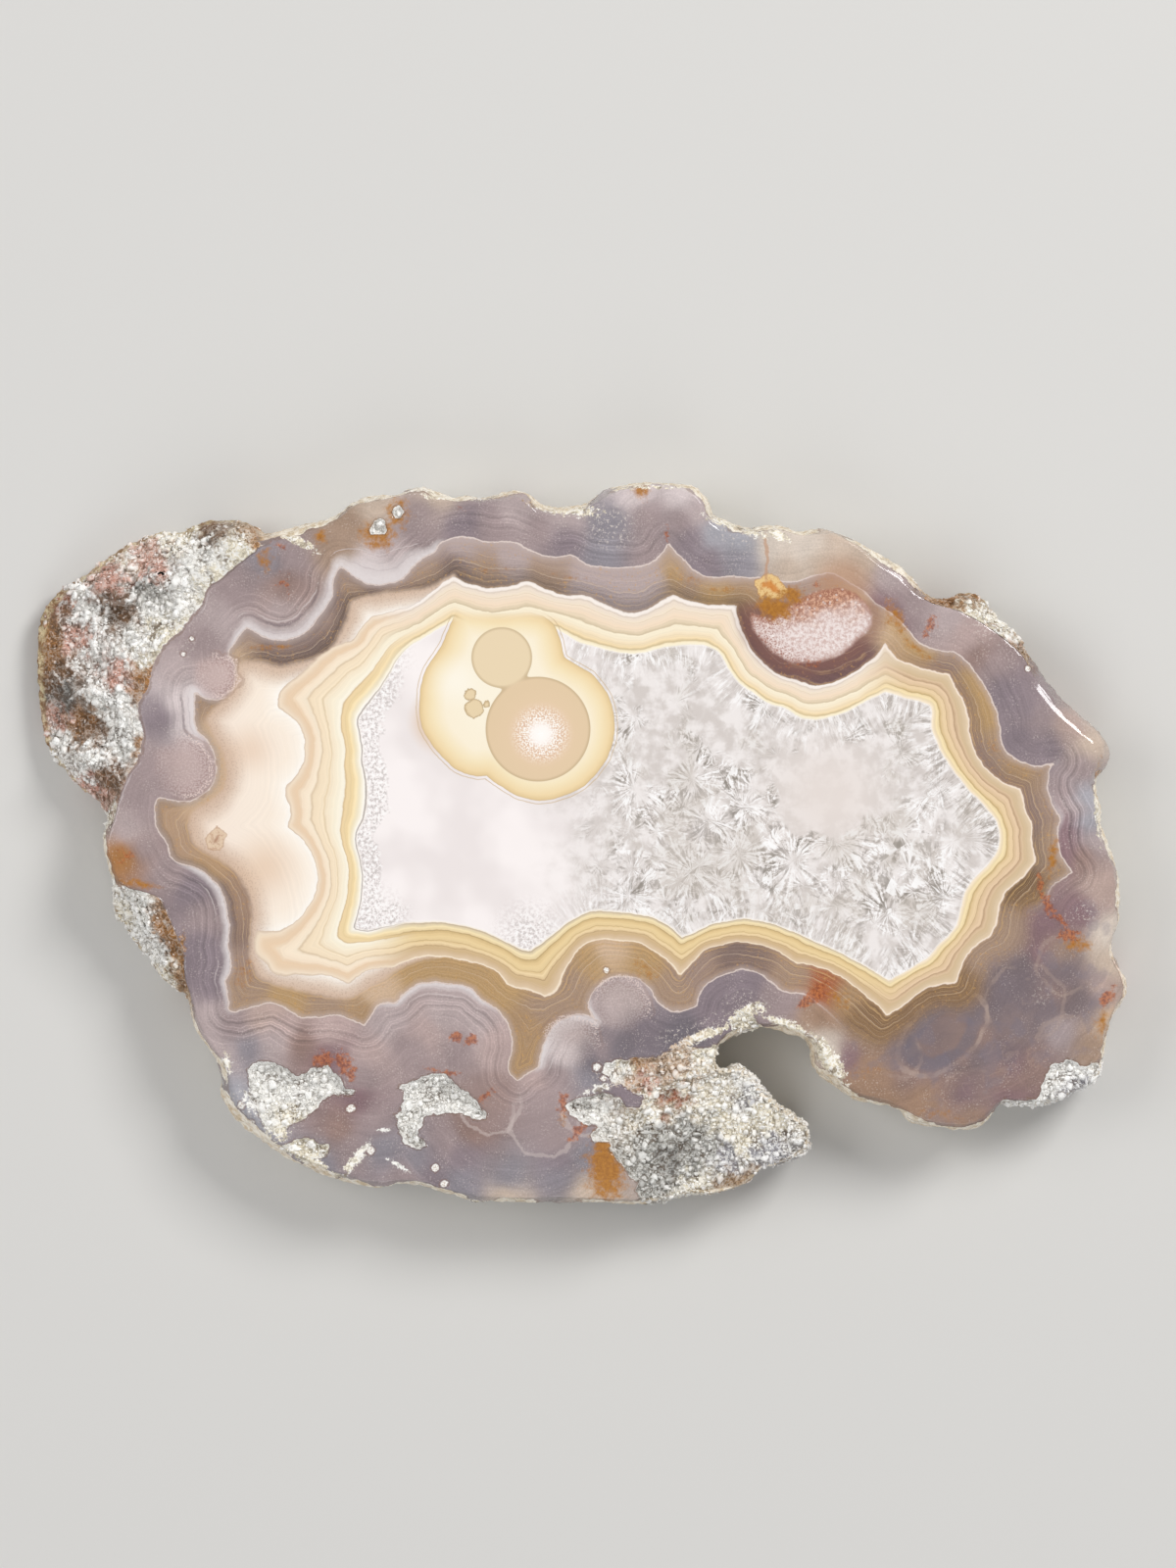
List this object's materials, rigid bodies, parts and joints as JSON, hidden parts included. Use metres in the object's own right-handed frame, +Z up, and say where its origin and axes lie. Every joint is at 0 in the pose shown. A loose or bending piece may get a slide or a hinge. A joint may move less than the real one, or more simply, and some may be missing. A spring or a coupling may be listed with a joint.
{
  "type": "laguna agate slice",
  "caption": "Flat polished slice of banded agate with a pale crystalline centre, scalloped bands, natural skin and a notched edge, lying on its sawn back.",
  "frame": {"origin": "middle of the sawn back, where the slice rests: the centre of its outline, seen from above, at the height of the surface it lies on", "axes": "+Z up, out of the polished face; +X along the slice's length, towards the lobe beside the notch; +Y towards the long unbroken edge"},
  "size_m": [0.1121, 0.0742, 0.009],
  "materials": {
    "agate": "polished"
  },
  "bodies": {
    "root": {"agate_slice": "agate"}
  },
  "joints": []
}
